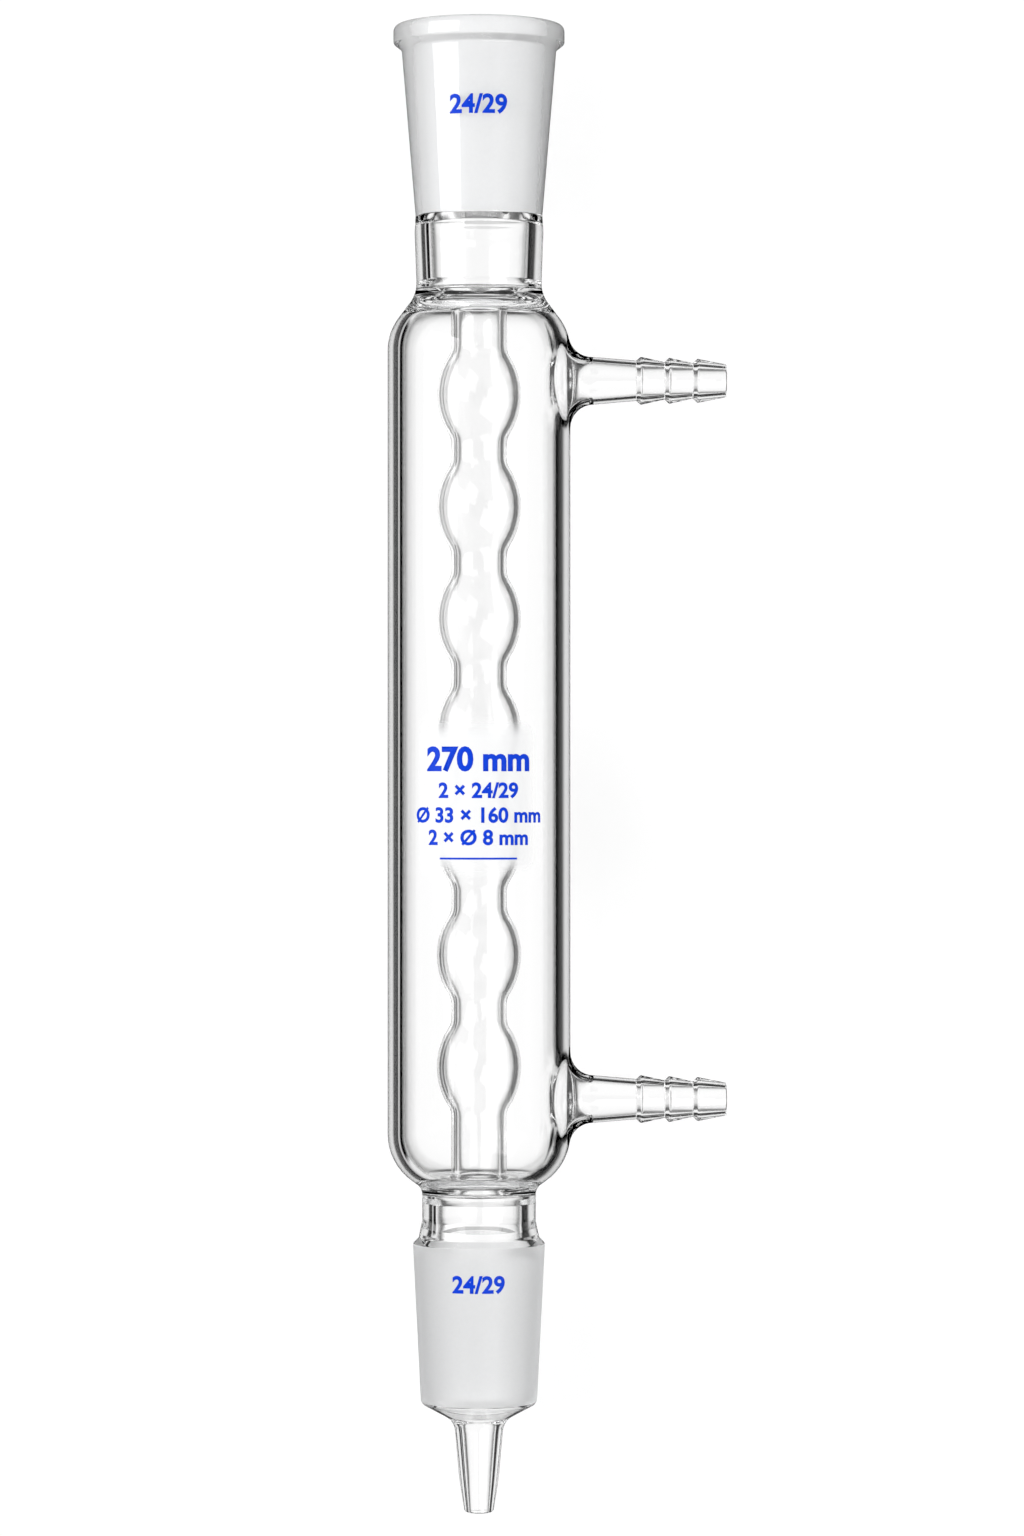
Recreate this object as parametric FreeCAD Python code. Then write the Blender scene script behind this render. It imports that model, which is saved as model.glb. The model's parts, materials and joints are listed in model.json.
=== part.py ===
# A bulb-tube column condenser in borosilicate glass, of the reflux type.
#
# Glass tubes are sealed together in the flame into one piece of glass, so the
# whole condenser is one solid. It holds two separate passages. Vapour goes from
# the ground socket, through the throat and a chain of blown bulbs, down to the
# ground cone and its drip tip. Cooling water goes in at one hose nozzle, round
# the bulbs inside the jacket, and out at the other nozzle.
#
# The outlines are drawn in a half plane: a radius from the condenser's own axis,
# and a height along it from the open end of the drip tip. The finished glass is
# then laid down as it comes to rest on a bench: its axis level along +Y with the
# socket end towards +Y, and the nozzles on the +X side, dipped until their tips
# touch the bench. The origin is on the bench, under the middle of the whole.

import math
import os

import FreeCAD
import Part

# Standard taper joints, size 24/29
joint_radius = 12.0           # at the wide end of the ground zone, 24 mm across
joint_taper = 0.1             # diameter lost for each millimetre of length
cone_grind_length = 29.0
socket_grind_length = 30.5    # the socket is ground a little further than the cone

# Heights along the axis, from the open end of the drip tip
cone_foot_height = 19.9       # narrow end of the cone's ground zone
jacket_floor_height = 60.4    # lowest point of the water space
jacket_length = 159.2         # the water space, end to end
throat_length = 14.0          # from the throat's floor to the socket's ground zone

# Jacket
jacket_radius = 16.6
jacket_wall = 2.6
upper_shoulder_radius = 9.7
upper_shoulder_slant = 37.0   # degrees between the shoulder's flank and the axis
lower_shoulder_radius = 10.4
lower_shoulder_slant = 55.0
ring_seal_round = 0.5         # inside the water space, where the bulb tube meets a seal

# Bulb tube inside the jacket
tube_radius = 5.1
tube_wall = 1.3
bulb_spacing = 20.35          # the chain takes the whole number of bulbs that comes nearest
bulb_radius = 7.7             # greatest radius of a bulb, outside
bulb_side_radius = 13.0       # radius of the arc that draws a bulb's side
bulb_root_round = 3.0         # hollow curve from a bulb into the tube
plain_tube_below = 10.425     # from the jacket's floor up to the chain of bulbs
plain_tube_above = 6.325      # from the chain up to the top of the water space

# Socket end
rim_radius = 15.55
rim_band_length = 3.3
rim_bevel_length = 1.2        # from the rim band down to the socket's wall
rim_round = 1.2
lip_length = 4.2              # plain mouth above the socket's ground zone
lip_flare = 0.6
socket_wall_top = 2.05
socket_wall_foot = 1.05

# Throat: the clear neck between the socket and the jacket
throat_radius = 11.7
throat_wall = 2.7
throat_waist = 0.4            # how much the neck draws in towards the jacket
throat_swell_length = 3.0     # from the socket's foot down to the neck's widest
throat_swell_round = 2.0
throat_concave_radius = 6.0
throat_ledge_drop = 1.6       # from the socket's ground zone in to the throat's bore
upper_seal_thickness = 2.0
seal_bead = 0.4               # ring of glass that stands into the bore above a seal
seal_bead_height = 2.3
funnel_radius = 5.8           # mouth of the bulb tube in the throat's floor
funnel_depth = 2.7
funnel_lip_round = 1.0
funnel_root_round = 1.2

# Neck between the jacket and the cone
lower_neck_radius = 10.3
lower_neck_wall = 2.7
lower_neck_concave_radius = 2.4
lower_seal_thickness = 2.0
collar_radius = 10.95         # the neck spreads to this where it meets the cone
collar_height = 1.1
collar_length = 4.2
collar_round = 3.0
ceiling_round = 0.9           # where the neck's bore meets its ceiling
ceiling_funnel_round = 2.0

# Cone end and drip tip
cone_wall = 2.1
cone_head_bore_round = 1.5
cone_foot_bore_round = 2.2
cone_foot_bore_rise = 0.7
tip_end_radius = 2.6
tip_end_bore = 1.75
tip_end_round = 0.6
tip_belly_radius = 3.6
tip_belly_height = 6.2
tip_belly_round = 30.0
tip_root_radius = 4.5
tip_root_bore = 3.0
tip_root_height = 16.6
tip_root_bore_round = 2.0
tip_flare_round = 3.4

# Hose nozzles
nozzle_reach = 45.0           # from the condenser's axis to a nozzle's open end
nozzle_above_floor = 14.7     # from the jacket's floor up to the lower nozzle's axis
nozzle_below_top = 13.9       # from the upper nozzle's axis up to the top of the water space
nozzle_root_radius = 4.3      # stem where it leaves the flare
nozzle_stem_radius = 3.65     # stem where it meets the first ridge
nozzle_wall = 0.85
nozzle_flare_outside = 4.3    # fillet from the jacket's outside to the stem
nozzle_flare_inside = 6.0     # fillet from the jacket's inside to the bore
nozzle_bend_round = 12.0
nozzle_end_radius = 2.96
nozzle_end_bore = 2.1
nozzle_end_round = 0.4
ridge_count = 3
ridge_start = 28.6            # from the condenser's axis to the foot of the first ridge
ridge_pitch = 5.15
ridge_rise_length = 0.8       # from a ridge's foot to its crest
ridge_radius = 4.35           # crest of the first ridge
ridge_step = 0.17             # each crest is lower than the one before it
valley_radius = 3.4           # narrow end of the first ridge
valley_step = 0.2

# Sizes that follow from the ones above
jacket_bore = jacket_radius - jacket_wall
tube_bore = tube_radius - tube_wall
water_top_height = jacket_floor_height + jacket_length
shoulder_inner_radius = jacket_bore - tube_radius - ring_seal_round
side_foot_height = jacket_floor_height + shoulder_inner_radius
side_head_height = water_top_height - shoulder_inner_radius
cone_head_height = cone_foot_height + cone_grind_length
cone_foot_radius = joint_radius - cone_grind_length * joint_taper / 2
throat_floor_height = water_top_height + upper_seal_thickness
socket_foot_height = throat_floor_height + throat_length
socket_head_height = socket_foot_height + socket_grind_length
socket_foot_bore = joint_radius - socket_grind_length * joint_taper / 2
overall_length = socket_head_height + lip_length
neck_ceiling_height = jacket_floor_height - lower_seal_thickness
chain_foot_height = jacket_floor_height + plain_tube_below
chain_head_height = water_top_height - plain_tube_above
bulb_count = round((chain_head_height - chain_foot_height) / bulb_spacing)
bulb_pitch = (chain_head_height - chain_foot_height) / bulb_count
nozzle_bottom_height = jacket_floor_height + nozzle_above_floor
nozzle_top_height = water_top_height - nozzle_below_top
stem_start = max(jacket_radius + nozzle_flare_outside, jacket_bore + nozzle_flare_inside)

shortest_side = 1e-6          # where two rounds meet, no straight side lies between them
root_tolerance = 0.01         # how near an edge lies to both surfaces that cross in it

CONDENSER_AXIS = FreeCAD.Vector(0, 0, 1)
NOZZLE_AXIS = FreeCAD.Vector(1, 0, 0)
BENCH_AXIS = FreeCAD.Vector(0, 1, 0)
CENTRE = FreeCAD.Vector(0, 0, 0)


def at(radius, height):
    """A point of a half-plane outline."""
    return FreeCAD.Vector(radius, 0, height)


def rounded_run(corners, closed=False):
    """Edges along straight runs, with a tangent arc in each corner that has a round.

    A corner is (radius, height, round). The first and last corners of an open
    run are its ends, so their rounds have no effect.
    """
    count = len(corners)
    turns = []
    for i, (radius, height, corner_round) in enumerate(corners):
        here = at(radius, height)
        is_end = not closed and i in (0, count - 1)
        if is_end or corner_round <= 0:
            turns.append((here, None, here))
            continue
        back = at(*corners[i - 1][:2]) - here
        ahead = at(*corners[(i + 1) % count][:2]) - here
        half_angle = back.getAngle(ahead) / 2
        back.normalize()
        ahead.normalize()
        inward = back + ahead
        inward.normalize()
        setback = corner_round / math.tan(half_angle)
        nearest = corner_round / math.sin(half_angle) - corner_round
        turns.append((here + back * setback, here + inward * nearest, here + ahead * setback))
    edges = []
    for i, (arrive, middle, leave) in enumerate(turns):
        if middle is not None:
            edges.append(Part.Arc(arrive, middle, leave).toShape())
        onward = turns[(i + 1) % count][0]
        has_side = closed or i < count - 1
        if has_side and leave.distanceToPoint(onward) > shortest_side:
            edges.append(Part.makeLine(leave, onward))
    return edges


def bulb_chain(inset):
    """The side of the whole chain of bulbs, that far inside the tube's outside.

    A bulb's arc bows out and the arc at its root bows in. Both keep their
    centres for the outside and the inside, so the wall is even along the chain.
    """
    side = bulb_side_radius - inset
    root = bulb_root_round + inset
    side_centre = bulb_radius - bulb_side_radius
    root_centre = tube_radius + bulb_root_round
    root_reach = math.sqrt((side + root) ** 2 - (root_centre - side_centre) ** 2)
    lean = math.atan2(root_reach, root_centre - side_centre)
    join_radius = side_centre + side * math.cos(lean)
    join_reach = side * math.sin(lean)
    tube_side = tube_radius - inset
    root_middle_radius = root_centre - root * math.cos(lean / 2)
    root_middle_reach = root_reach - root * math.sin(lean / 2)
    edges = []
    for i in range(bulb_count):
        middle = chain_foot_height + (i + 0.5) * bulb_pitch
        low_end, high_end = middle - bulb_pitch / 2, middle + bulb_pitch / 2
        edges.append(Part.makeLine(at(tube_side, low_end), at(tube_side, middle - root_reach)))
        edges.append(Part.Arc(
            at(tube_side, middle - root_reach),
            at(root_middle_radius, middle - root_middle_reach),
            at(join_radius, middle - join_reach)).toShape())
        edges.append(Part.Arc(
            at(join_radius, middle - join_reach),
            at(bulb_radius - inset, middle),
            at(join_radius, middle + join_reach)).toShape())
        edges.append(Part.Arc(
            at(join_radius, middle + join_reach),
            at(root_middle_radius, middle + root_middle_reach),
            at(tube_side, middle + root_reach)).toShape())
        edges.append(Part.makeLine(at(tube_side, middle + root_reach), at(tube_side, high_end)))
    return edges


def turned(edges, axis=CONDENSER_AXIS):
    """The solid that a closed outline sweeps in one full turn about an axis."""
    face = Part.Face(Part.Wire(Part.__sortEdges__(edges)))
    return face.revolve(CENTRE, axis, 360)


def shoulder_heights(neck_radius, slant, shoulder_radius, side_end, direction):
    """The heights at which a shoulder's flank meets the jacket's side and the neck.

    side_end is where the jacket's straight side ends, and direction is +1 for
    the shoulder above it and -1 for the one below.
    """
    lean = math.radians(slant)
    jacket_height = side_end + direction * shoulder_radius * math.tan(lean / 2)
    flank_height = (jacket_radius - neck_radius) / math.tan(lean)
    return jacket_height, jacket_height + direction * flank_height


def outside_run():
    """The glass from the drip tip's open end, up its outside, to the socket's rim."""
    waist_radius = throat_radius - throat_waist
    low_side, low_neck = shoulder_heights(
        lower_neck_radius, lower_shoulder_slant, lower_shoulder_radius, side_foot_height, -1)
    high_side, high_neck = shoulder_heights(
        waist_radius, upper_shoulder_slant, upper_shoulder_radius, side_head_height, 1)
    rim_foot = overall_length - rim_band_length
    return [
        (tip_end_radius, 0, tip_end_round),
        (tip_belly_radius, tip_belly_height, tip_belly_round),
        (tip_root_radius, tip_root_height, tip_flare_round),
        (cone_foot_radius, cone_foot_height, 0),
        (joint_radius, cone_head_height, 0),
        (collar_radius, cone_head_height + collar_height, 0),
        (lower_neck_radius, cone_head_height + collar_length, collar_round),
        (lower_neck_radius, low_neck, lower_neck_concave_radius),
        (jacket_radius, low_side, lower_shoulder_radius),
        (jacket_radius, high_side, upper_shoulder_radius),
        (waist_radius, high_neck, throat_concave_radius),
        (throat_radius, socket_foot_height - throat_swell_length, throat_swell_round),
        (socket_foot_bore + socket_wall_foot, socket_foot_height, 0),
        (joint_radius + socket_wall_top, rim_foot - rim_bevel_length, 0),
        (rim_radius, rim_foot, 0),
        (rim_radius, overall_length, rim_round),
    ]


def socket_bore_run():
    """The vapour passage from the socket's mouth down to the top of the bulb chain."""
    throat_bore = throat_radius - throat_wall
    ledge_height = socket_foot_height - throat_ledge_drop
    bead_height = throat_floor_height + seal_bead_height
    return [
        (joint_radius + lip_flare, overall_length, rim_round),
        (joint_radius, socket_head_height, 0),
        (socket_foot_bore, socket_foot_height, 0),
        (throat_bore, ledge_height, 0),
        (throat_bore - seal_bead, bead_height, 0),
        (throat_bore, throat_floor_height + seal_bead_height / 2, 0),
        (throat_bore, throat_floor_height, 0),
        (funnel_radius, throat_floor_height, funnel_lip_round),
        (tube_bore, throat_floor_height - funnel_depth, funnel_root_round),
        (tube_bore, chain_head_height, 0),
    ]


def cone_bore_run():
    """The vapour passage from the foot of the bulb chain down to the drip tip's end."""
    neck_bore = lower_neck_radius - lower_neck_wall
    mouth_bore = neck_bore + seal_bead
    bead_height = neck_ceiling_height - seal_bead_height
    return [
        (tube_bore, chain_foot_height, 0),
        (tube_bore, neck_ceiling_height + funnel_depth, ceiling_funnel_round),
        (tube_bore + seal_bead, neck_ceiling_height, 0),
        (mouth_bore, neck_ceiling_height, ceiling_round),
        (mouth_bore, neck_ceiling_height - seal_bead_height / 2, 0),
        (neck_bore, bead_height, 0),
        (neck_bore, cone_head_height + collar_length / 2, 0),
        (mouth_bore, cone_head_height + collar_height, 0),
        (joint_radius - cone_wall, cone_head_height - cone_wall, cone_head_bore_round),
        (cone_foot_radius - cone_wall, cone_foot_height + cone_foot_bore_rise, cone_foot_bore_round),
        (tip_root_bore, tip_root_height, tip_root_bore_round),
        (tip_end_bore, 0, 0),
    ]


def glass_body():
    """All that lies between the outside skin and the vapour passage."""
    outline = rounded_run(cone_bore_run() + outside_run() + socket_bore_run())
    return turned(outline + bulb_chain(tube_wall))


def water_space():
    """The hollow between jacket and bulb tube, closed by a ring seal at each end."""
    corners = [
        (tube_radius, chain_foot_height, 0),
        (tube_radius, jacket_floor_height, ring_seal_round),
        (jacket_bore, jacket_floor_height, shoulder_inner_radius),
        (jacket_bore, water_top_height, shoulder_inner_radius),
        (tube_radius, water_top_height, ring_seal_round),
        (tube_radius, chain_head_height, 0),
    ]
    return turned(rounded_run(corners) + bulb_chain(0))


def nozzle_body():
    """A hose nozzle's stem and ridges without its bore, pointing out along the nozzle's axis."""
    corners = [
        (jacket_bore, 0, 0),
        (jacket_bore, nozzle_root_radius, 0),
        (stem_start, nozzle_root_radius, nozzle_bend_round),
        (ridge_start, nozzle_stem_radius, 0),
    ]
    for i in range(ridge_count):
        foot = ridge_start + i * ridge_pitch
        corners.append((foot + ridge_rise_length, ridge_radius - i * ridge_step, 0))
        if i < ridge_count - 1:
            corners.append((foot + ridge_pitch, valley_radius - i * valley_step, 0))
    corners.append((nozzle_reach, nozzle_end_radius, nozzle_end_round))
    corners.append((nozzle_reach, 0, 0))
    return turned(rounded_run(corners, closed=True), NOZZLE_AXIS)


def nozzle_bore():
    """A hose nozzle's waterway, from inside the water space to beyond its open end."""
    root_bore = nozzle_root_radius - nozzle_wall
    beyond = nozzle_reach + nozzle_end_round
    inner_end = (bulb_radius + jacket_bore) / 2
    corners = [
        (inner_end, 0, 0),
        (inner_end, root_bore, 0),
        (stem_start, root_bore, nozzle_bend_round),
        (ridge_start, nozzle_stem_radius - nozzle_wall, nozzle_bend_round),
        (nozzle_reach - nozzle_end_round, nozzle_end_bore, 0),
        (beyond, nozzle_end_bore + 2 * nozzle_end_round, 0),
        (beyond, 0, 0),
    ]
    return turned(rounded_run(corners, closed=True), NOZZLE_AXIS)


def at_both_nozzles(shape):
    """Two copies of a nozzle's shape, one at each nozzle's height."""
    copies = []
    for height in (nozzle_bottom_height, nozzle_top_height):
        copy = shape.copy()
        copy.translate(CONDENSER_AXIS * height)
        copies.append(copy)
    return copies


def root_edges(shape, wall_radius, stem_radius):
    """The edges where a nozzle's stem crosses a round wall: each lies on both surfaces."""
    found = []
    for edge in shape.Edges:
        middle = edge.valueAt((edge.FirstParameter + edge.LastParameter) / 2)
        off_wall = abs(math.hypot(middle.x, middle.y) - wall_radius)
        for height in (nozzle_bottom_height, nozzle_top_height):
            off_stem = abs(math.hypot(middle.y, middle.z - height) - stem_radius)
            if off_wall < root_tolerance and off_stem < root_tolerance and middle.x > 0:
                found.append(edge)
    return found


def condenser():
    """The finished glass, upright on its own axis."""
    glass = glass_body().fuse(at_both_nozzles(nozzle_body())).removeSplitter()
    outer_roots = root_edges(glass, jacket_radius, nozzle_root_radius)
    glass = glass.makeFillet(nozzle_flare_outside, outer_roots)
    water = water_space().fuse(at_both_nozzles(nozzle_bore())).removeSplitter()
    inner_roots = root_edges(water, jacket_bore, nozzle_root_radius - nozzle_wall)
    water = water.makeFillet(nozzle_flare_inside, inner_roots)
    return glass.cut(water)


def last_crest():
    """Reach and radius of the crest of a nozzle's last ridge."""
    last = ridge_count - 1
    return ridge_start + last * ridge_pitch + ridge_rise_length, ridge_radius - last * ridge_step


def end_round_centre():
    """Reach and radius of the centre of the round at a nozzle's open end."""
    crest_reach, crest_radius = last_crest()
    lean = math.atan2(crest_radius - nozzle_end_radius, nozzle_reach - crest_reach)
    inset = nozzle_end_round * math.tan(math.pi / 4 - lean / 2)
    return nozzle_reach - nozzle_end_round, nozzle_end_radius - inset


def resting_dip():
    """The angle, in radians, by which the nozzles dip when the glass lies on a bench.

    A nozzle touches at the round of its end or at the crest of its last ridge,
    whichever takes the smaller dip.
    """
    dips = []
    for (reach, radius), round_radius in ((end_round_centre(), nozzle_end_round), (last_crest(), 0)):
        drop = jacket_radius - round_radius
        dips.append(math.asin(drop / math.hypot(reach, radius)) - math.atan2(radius, reach))
    return min(dips)


def laid_down(glass):
    """The condenser as it rests, with the origin on the bench under its middle."""
    dip = resting_dip()
    reach, radius = end_round_centre()
    side_reach = reach * math.cos(dip) + radius * math.sin(dip) + nozzle_end_round
    side_middle = (side_reach - jacket_radius) / 2
    glass.rotate(CENTRE, NOZZLE_AXIS, -90)
    glass.rotate(CENTRE, BENCH_AXIS, math.degrees(dip))
    glass.translate(FreeCAD.Vector(-side_middle, -overall_length / 2, jacket_radius))
    return glass


def main():
    os.makedirs("parts", exist_ok=True)
    glass = laid_down(condenser())
    glass.exportStep("parts/condenser_glass.step")
    print("solids", len(glass.Solids), "valid", glass.isValid(), "volume mm3", round(glass.Volume, 1))
    print("length", round(overall_length, 2), "dip", round(math.degrees(resting_dip()), 2))


main()
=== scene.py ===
# A bulb-tube column condenser in clear borosilicate glass, lying on a pale bench.
#
# The glass is one piece. It is turned upright, in millimetres, about its own axis
# with the drip tip at height 0 and the nozzles towards +X, and then laid down in
# the place that the frame gives. The two ground zones and the socket's lip are
# matt. The size figures are blue enamel fired onto the outside, and a soft pale
# patch lies under the middle block and hides the bulbs behind it.

import json
import math

import bmesh
import bpy
from mathutils import Matrix, Vector


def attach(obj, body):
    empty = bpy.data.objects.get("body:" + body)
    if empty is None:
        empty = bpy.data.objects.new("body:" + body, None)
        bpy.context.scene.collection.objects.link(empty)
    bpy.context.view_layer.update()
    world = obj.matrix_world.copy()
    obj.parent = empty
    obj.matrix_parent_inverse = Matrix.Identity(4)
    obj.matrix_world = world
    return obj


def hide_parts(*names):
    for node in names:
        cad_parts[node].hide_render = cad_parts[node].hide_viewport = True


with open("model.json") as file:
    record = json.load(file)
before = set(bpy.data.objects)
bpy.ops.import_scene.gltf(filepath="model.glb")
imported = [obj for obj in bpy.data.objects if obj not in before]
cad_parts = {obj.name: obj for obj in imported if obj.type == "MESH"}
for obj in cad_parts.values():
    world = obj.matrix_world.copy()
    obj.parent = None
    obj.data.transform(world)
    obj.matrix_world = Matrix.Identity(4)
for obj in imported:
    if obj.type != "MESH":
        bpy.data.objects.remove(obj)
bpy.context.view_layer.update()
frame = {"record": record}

MM = 0.001
LENGTH = 270.3

# Standard taper joints, size 24/29. A pair holds the heights of a zone's two ends.
JOINT_RADIUS = 12.0
JOINT_TAPER = 0.1
CONE_GRIND = (19.9, 48.9)
SOCKET_GRIND = (235.6, 266.1)
SOCKET_LIP = (266.1, 269.4)
LIP_FLARE = 0.47                # how much the lip's bore widens
CONE_FOOT_RADIUS = JOINT_RADIUS - (CONE_GRIND[1] - CONE_GRIND[0]) * JOINT_TAPER / 2
SOCKET_FOOT_BORE = JOINT_RADIUS - (SOCKET_GRIND[1] - SOCKET_GRIND[0]) * JOINT_TAPER / 2
GRIND_REACH = 0.12              # a face this near a zone's taper is ground

# Socket and its rim
SOCKET_WALL_FOOT = 1.05
SOCKET_WALL_TOP = 2.05
RIM_RADIUS = 15.55
RIM_FOOT = LENGTH - 3.3
RIM_BEVEL_FOOT = RIM_FOOT - 1.2
MOUTH_RADIUS = JOINT_RADIUS + 0.6

# Cone, its collar and the drip tip
CONE_WALL = 2.1
CONE_FUNNEL_HEAD = CONE_GRIND[0] + 0.7
COLLAR_RADIUS = 10.95
COLLAR_HEIGHT = CONE_GRIND[1] + 1.1
COLLAR_HEAD = CONE_GRIND[1] + 4.2
TIP_HEAD = 16.6
TIP_HEAD_RADIUS = 4.5
TIP_HEAD_BORE = 3.0
TIP_BEND_HEIGHT = 6.2
TIP_BEND_RADIUS = 3.6
TIP_END_RADIUS = 2.6
TIP_END_BORE = 1.75

# Jacket, and the water space inside it
JACKET_RADIUS = 16.6
JACKET_BORE = 14.0
WATER_FLOOR = 60.4
WATER_TOP = 219.6
SEAL_ROUND = 0.5
SIDE_FOOT = 68.8                # the straight side runs from here to SIDE_HEAD
SIDE_HEAD = 211.2
BORE_SHOULDER = 8.4
LOW_SHOULDER = 10.4
LOW_SLANT = 55.0
HIGH_SHOULDER = 9.7
HIGH_SLANT = 37.0

# Bulb tube
TUBE_RADIUS = 5.1
TUBE_WALL = 1.3
TUBE_BORE = TUBE_RADIUS - TUBE_WALL
BULB_COUNT = 7
BULB_PITCH = 20.35
BULB_RADIUS = 7.7
BULB_SIDE = 13.0
BULB_ROOT = 3.0
LOWEST_BULB = 81.0
CHAIN_FOOT = LOWEST_BULB - BULB_PITCH / 2
CHAIN_HEAD = LOWEST_BULB + (BULB_COUNT - 0.5) * BULB_PITCH

# Throat and lower neck
THROAT_RADIUS = 11.7
THROAT_WAIST = 11.3
THROAT_BORE = 9.0
THROAT_FLOOR = 221.6
THROAT_HEAD = SOCKET_GRIND[0] - 3.0
THROAT_BORE_HEAD = SOCKET_GRIND[0] - 1.6
NECK_RADIUS = 10.3
NECK_BORE = 7.6
NECK_BORE_FOOT = CONE_GRIND[1] + 2.1
NECK_MOUTH = 8.0
NECK_CEILING = 58.4
BEAD = 0.4
BEAD_HEIGHT = 2.3
FUNNEL_RADIUS = 5.8
FUNNEL_DEPTH = 2.7

# Hose nozzles
NOZZLE_HEIGHTS = (75.1, 205.7)
NOZZLE_REACH = 45.0
STEM_START = 20.9
STEM_RADIUS = 4.3
STEM_END_RADIUS = 3.65
NOZZLE_WALL = 0.85
STEM_BORE = STEM_RADIUS - NOZZLE_WALL
STEM_CURVE = 12.0               # rounds the slight bend between flare and stem
FLARE_OUTSIDE = 4.3
FLARE_INSIDE = 6.0
RIDGE_START = 28.6
RIDGE_PITCH = 5.15
RIDGE_RISE = 0.8
RIDGE_COUNT = 3
RIDGE_RADIUS = 4.35
RIDGE_STEP = 0.17
RIDGE_ROUND = 0.3
VALLEY_RADIUS = 3.4
VALLEY_STEP = 0.2
NOZZLE_END_RADIUS = 2.96
NOZZLE_END_BORE = 2.1

# How finely the glass is turned
AROUND = 160                    # segments round the condenser's axis
NOZZLE_AROUND = 80
ARC_STEP = math.radians(11)
LEAST_ARC_STEPS = 2
SHOULDER_STEPS = 8
BORE_SHOULDER_STEPS = 12
BULB_SIDE_STEPS = 10
ROOT_STEPS_INSIDE = 4
ROOT_STEPS_OUTSIDE = 3
FLARE_RINGS = 8
SAME_POINT = 1e-4

# Where a nozzle leaves a wall, a patch is taken out of the wall and closed again
# with faces that meet the nozzle's flare. Its width is counted in segments round
# the axis. It ends at a row of the straight side, and on the shoulder after so
# many of the shoulder's steps.
OUTER_PATCH_SEGMENTS = 26
INNER_PATCH_SEGMENTS = 30
LOW_PATCH_TOP = 85.2
HIGH_PATCH_FOOT = 195.6
BORE_LOW_PATCH_TOP = 85.6
BORE_HIGH_PATCH_FOOT = 195.2
LOW_PATCH_STEPS = 3
HIGH_PATCH_STEPS = 6
BORE_PATCH_STEPS = 4
LOW_SIDE_ROWS = 10
HIGH_SIDE_ROWS = 7
BORE_SIDE_ROWS = 5
PATCH_CUTS = 2
OUTER_WALL = (15.0, 17.0)       # how far from the axis a wall's faces are looked for
INNER_WALL = (11.5, 14.3)

# The print
PRINT_LIFT = 0.015
PRINT_THICK = 0.03
PRINT_STRIP = 0.4               # a mark is cut this fine before it is bent round
FIGURE_STEPS = 4
SIZE_FIGURES = (                # words, piece, height on the glass, size, fattening
    ("24/29", "socket_size_mark", 254.5, 3.6, 0.03),
    ("24/29", "cone_size_mark", 42.4, 3.3, 0.03),
    ("270 mm", "overall_length_mark", 136.9, 4.6, 0.036),
    ("2 × 24/29", "joint_size_mark", 131.3, 2.9, 0.03),
    ("Ø 33 × 160 mm", "jacket_size_mark", 126.9, 2.9, 0.03),
    ("2 × Ø 8 mm", "hose_size_mark", 122.9, 2.9, 0.03),
)
RULE_HEIGHT = 119.1
RULE_LENGTH = 14.2
RULE_WIDTH = 0.34

# The pale patch under the middle block
WASH_HEIGHT = 130.2
WASH_SIZE = (24.0, 29.6)
WASH_CELLS = (48, 54)
WASH_LIFT = 0.006
WASH_FADE = 4.5                 # it fades out over this width at its edges
WASH_COVER = 0.92

# Finishes
GLASS_INDEX = 1.474
CLEAR_LETS_LAMPS = 0.85
GROUND_DARKER = (0.79, 0.795, 0.8, 1)
GROUND_PALER = (0.87, 0.875, 0.88, 1)
GROUND_ROUGHNESS = 0.5
GROUND_CLEARNESS = 0.6
GROUND_LETS_LAMPS = 0.6
GRIT_SCALE = 1600
GRIT_DETAIL = 4
GRIT_ROUGHNESS = 0.65
GRIT_RELIEF = 0.4
GRIT_DEPTH = 0.00004
ENAMEL_BLUE = (0.0, 0.05, 0.68, 1)
ENAMEL_ROUGHNESS = 0.35
ENAMEL_GLOSS = 0.12
WASH_WHITE = (0.93, 0.935, 0.94, 1)
WASH_ROUGHNESS = 0.5
WASH_GLOSS = 0.2

# Camera, in metres
CAMERA_DISTANCE = 0.95
VIEW_HEIGHT = 0.2793
SHIFT_RIGHT = 0.006
SHIFT_UP = 0.00015

# Bench and lamps. A lamp is its name, place, size and power.
BENCH_HALF_WIDTH = 3.0
BENCH_GREY = (0.95, 0.95, 0.95, 1)
BENCH_GLOW = 1.04
BENCH_GLOW_SHARE = 0.75
LAMPS = (
    ("key", (-0.5, 0.2, 0.8), (0.5, 0.7), 4),
    ("fill", (0.6, -0.3, 0.6), (0.5, 0.7), 2),
)

# The studio round the glass. A shade is a grey at an angle, in degrees, from the
# photograph's line of sight. The field behind the glass is bright, the cards
# beside it are dark, and the room in front is pale. Low on the -X side the field
# is shaped so that the glass isn't dark when it is looked through from +X.
BRIGHT_FIELD = ((0, 1.0), (8, 1.0), (14, 0.93), (21, 0.75), (27, 0.35), (31, 0.05), (34, 0.0))
LOW_FIELD = ((0, 1.0), (8, 1.0), (14, 0.95), (19, 0.82), (23, 0.3), (26, 0.0))
IN_FRONT = ((66, 0.95), (150, 0.95), (165, 0.6))
SEEN_THROUGH = BRIGHT_FIELD + ((54, 0.0), (60, 0.9)) + IN_FRONT
SEEN_LOW = LOW_FIELD + ((37, 0.0), (41, 0.6), (46, 0.9)) + IN_FRONT
LIGHT_GAP = ((38.5, 0.0), (40.5, 0.6), (44, 0.6), (45.5, 0.0))
SEEN_LOW_ACROSS = LOW_FIELD + LIGHT_GAP + ((54, 0.0), (56.5, 0.9)) + IN_FRONT
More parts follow.
